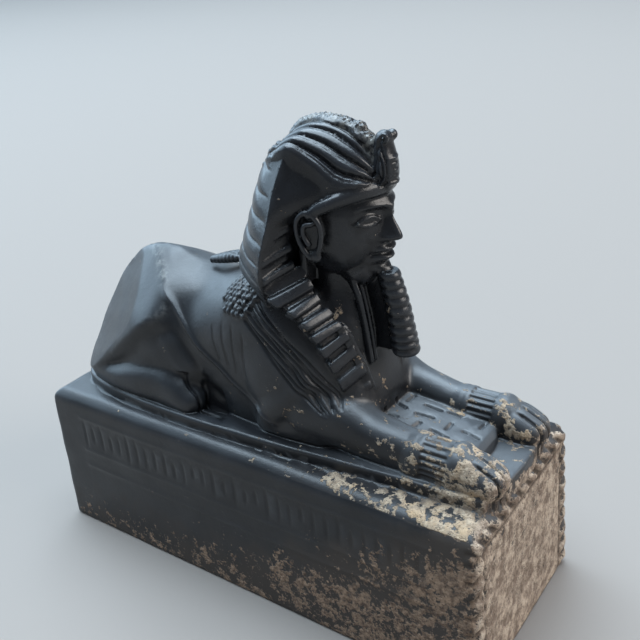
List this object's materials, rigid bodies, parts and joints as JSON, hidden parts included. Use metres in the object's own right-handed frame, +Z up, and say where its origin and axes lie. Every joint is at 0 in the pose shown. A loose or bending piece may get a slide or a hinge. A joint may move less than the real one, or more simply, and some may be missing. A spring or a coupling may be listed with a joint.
{
  "type": "sphinx statue",
  "caption": "Small black cast sphinx lying on its own tall oblong plinth, with a striped head cloth, ringed beard, bracelets and a rope-bordered front.",
  "frame": {"origin": "centre of the plinth's underside, on the surface that it stands on", "axes": "+X the way the sphinx looks, +Y to its left, +Z up"},
  "size_m": [0.18, 0.07, 0.1607],
  "materials": {
    "black_cast_resin": "satin to gloss black paint over cast stone-powder resin"
  },
  "bodies": {
    "root": {"sphinx_statue": "black_cast_resin"}
  },
  "joints": []
}
